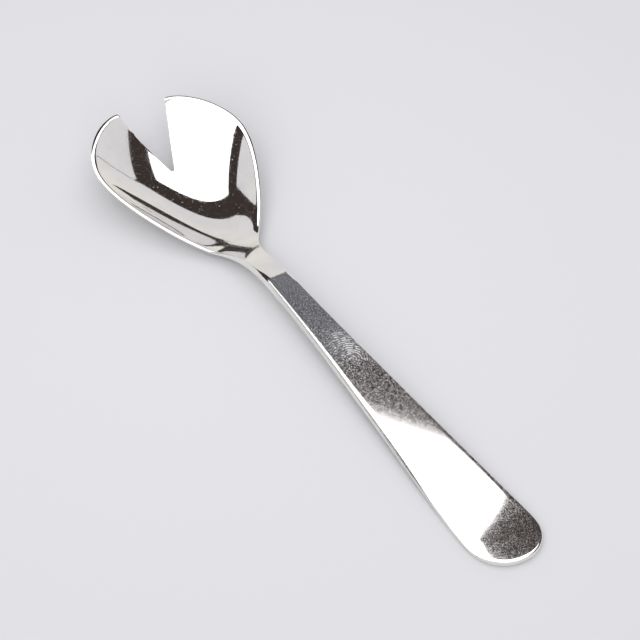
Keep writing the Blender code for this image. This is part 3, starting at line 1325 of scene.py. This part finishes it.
@dataclass
class Studio:
    """Pale table, light box with its dark frame, fill light, pale surroundings and camera."""

    azimuth: float = 58.4
    elevation: float = 40.721
    distance: float = 600.0
    aim: Pair = (0.278, 4.618)
    lens: float = 162.84
    sensor: float = 36.0
    sees: Pair = (10.0, 50000.0)
    box_height: float = 260.0
    box_turn: float = -28.5
    box_near: float = 130.0
    box_far: float = -187.0
    box_left: float = -162.5
    box_right: float = 118.6
    frame_near: Place = (700.0, -225.0, 72.5)
    frame_far: Place = (-302.0, -223.0, 196.0)
    arms: tuple[Card, ...] = (
        Card("frame_arm_left", ((-195.0, -222.0), (-380.0, -407.0), (-400.0, -360.0), (-298.0, -190.0))),
        Card("frame_arm_right", ((-270.0, 191.0), (-328.0, 213.0), (-290.0, 180.0))),
        Card(
            "stand_arm", ((-310.0, 205.0), (-330.0, 340.0), (-338.0, 340.0), (-318.0, 205.0)),
            colour=(0.3, 0.28, 0.27)),
    )
    radiance: float = 1.15
    fill_place: Place = (6250.0, -5000.0, 6000.0)
    fill_size: float = 9000.0
    fill_radiance: float = 4.3
    table_reach: float = 3000.0
    table_gap: float = 0.02
    table_finish: DullFinish = DullFinish("pale_table", (0.496, 0.498, 0.515), 0.75, 0.2)
    pale_low: Colour = (0.77, 0.755, 0.715)
    pale_high: Colour = (0.70, 0.685, 0.71)
    pale_levels: Pair = (0.25, 0.6)

    def build(self) -> None:
        """Sets up everything round the spoon."""
        self.add_table()
        self.add_light_box()
        self.add_fill()
        self.add_frame()
        self.add_surroundings()
        self.add_camera()

    def add_sheet(self, name: str, corners: list[Place], material: Material) -> bpy.types.Object:
        """Adds a flat sheet that isn't part of the spoon.

        Args:
            name: Name of the object.
            corners: Its corners, in metres.
            material: Its material.

        Returns:
            The object.
        """
        mesh = bpy.data.meshes.new(name)
        mesh.from_pydata(corners, [], [tuple(range(len(corners)))])
        mesh.materials.append(material)
        sheet = bpy.data.objects.new(name, mesh)
        bpy.context.scene.collection.objects.link(sheet)
        LOG.info("%s set up", name)
        return sheet

    def add_light(self, name: str, sides: Pair, radiance: float, stand: Matrix) -> bpy.types.Object:
        """Adds a rectangular light that the camera doesn't see.

        Args:
            name: Name of the light.
            sides: Its two sides.
            radiance: Its brightness.
            stand: Its place and turn; it shines along its own downward axis.

        Returns:
            The light's object.
        """
        light = bpy.data.lights.new(name, "AREA")
        light.shape = "RECTANGLE"
        light.size, light.size_y = sides[0] * MM, sides[1] * MM
        light.energy = radiance * math.pi * light.size * light.size_y
        lamp = bpy.data.objects.new(name, light)
        lamp.matrix_world = stand
        lamp.visible_camera = False
        bpy.context.scene.collection.objects.link(lamp)
        LOG.info("%s set up", name)
        return lamp

    def add_table(self) -> None:
        """Adds the pale table top, a hair below the spoon."""
        reach, level = self.table_reach * MM, -self.table_gap * MM
        corners = [(x * reach, y * reach, level) for x, y in ((-1, -1), (1, -1), (1, 1), (-1, 1))]
        self.add_sheet("table", corners, self.table_finish.make())

    def box_axes(self) -> Matrix:
        """Turn of the light box about the upright."""
        return Matrix.Rotation(math.radians(self.box_turn), 4, "Z")

    def add_light_box(self) -> None:
        """Adds the light box's panel, which faces down."""
        sides = (self.box_near - self.box_far, self.box_right - self.box_left)
        across = ((self.box_near + self.box_far) / 2, (self.box_left + self.box_right) / 2)
        middle = Vector((*across, self.box_height)) * MM
        self.add_light("light_box", sides, self.radiance, self.box_axes() @ Matrix.Translation(middle))

    def add_fill(self) -> None:
        """Adds a large soft light from the camera's side, which lightens shadows and isn't reflected."""
        place = Vector(self.fill_place) * MM
        turn = (-place).to_track_quat("-Z", "Y").to_matrix().to_4x4()
        sides = (self.fill_size, self.fill_size)
        fill = self.add_light("fill", sides, self.fill_radiance, Matrix.Translation(place) @ turn)
        fill.visible_glossy = False

    def add_frame(self) -> None:
        """Adds the dark frame round the light box and its arms, which only reflections show."""
        near, near_left, near_right = self.frame_near
        far, far_left, far_right = self.frame_far
        inner = [(self.box_near, self.box_left), (self.box_near, self.box_right)]
        inner += [(self.box_far, self.box_right), (self.box_far, self.box_left)]
        outer = [(near, near_left), (near, near_right), (far, far_right), (far, far_left)]
        cards = []
        for side, name in enumerate(("near", "right", "far", "left")):
            after = (side + 1) % len(inner)
            cards.append(Card(f"frame_{name}", (inner[side], inner[after], outer[after], outer[side])))
        for card in (*cards, *self.arms):
            corners = [self.box_axes() @ (Vector((a, b, self.box_height)) * MM) for a, b in card.corners]
            sheet = self.add_sheet(card.name, corners, DullFinish(card.name, card.colour).make())
            sheet.visible_camera = False
            sheet.visible_diffuse = False
            sheet.visible_shadow = False

    def add_surroundings(self) -> None:
        """Makes the room pale: a little warmer low down, a little cooler high up."""
        world = bpy.data.worlds.new("pale_room")
        bpy.context.scene.world = world
        sheet = NodeSheet(world, "Background")
        way = sheet.add("ShaderNodeTexCoord").outputs["Generated"]
        height = sheet.add("ShaderNodeSeparateXYZ", {0: way}).outputs["Z"]
        ramp = sheet.add("ShaderNodeValToRGB", {"Fac": height})
        stops = zip(ramp.color_ramp.elements, self.pale_levels, (self.pale_low, self.pale_high))
        for stop, level, colour in stops:
            stop.position = level
            stop.color = (*colour, 1.0)
        sheet.wire(sheet.shader, {"Color": ramp.outputs["Color"]})

    def add_camera(self) -> None:
        """Adds the camera at the photograph's viewing angle."""
        turn, rise = math.radians(self.azimuth), math.radians(self.elevation)
        back = Vector((math.sin(turn) * math.cos(rise), -math.cos(turn) * math.cos(rise), math.sin(rise)))
        right = Vector((math.cos(turn), math.sin(turn), 0.0))
        up = back.cross(right)
        data = bpy.data.cameras.new("camera")
        data.lens = self.lens
        data.sensor_width = self.sensor
        data.clip_start, data.clip_end = self.sees[0] * MM, self.sees[1] * MM
        camera = bpy.data.objects.new("camera", data)
        camera.location = (right * self.aim[0] + up * self.aim[1] + back * self.distance) * MM
        camera.rotation_mode = "QUATERNION"
        camera.rotation_quaternion = (-back).to_track_quat("-Z", "Y")
        bpy.context.scene.collection.objects.link(camera)
        bpy.context.scene.camera = camera


def main() -> None:
    logging.basicConfig(level=logging.INFO)
    plan, side, scarf = Plan(), SideView(), Scarf()
    bowl = Bowl(plan, side, scarf)
    bowl.build()
    Handle(plan, side, scarf).build()
    SolderSeam(bowl).build()
    Studio().build()
    bpy.context.scene.view_settings.view_transform = "Standard"


if __name__ == "__main__":
    main()
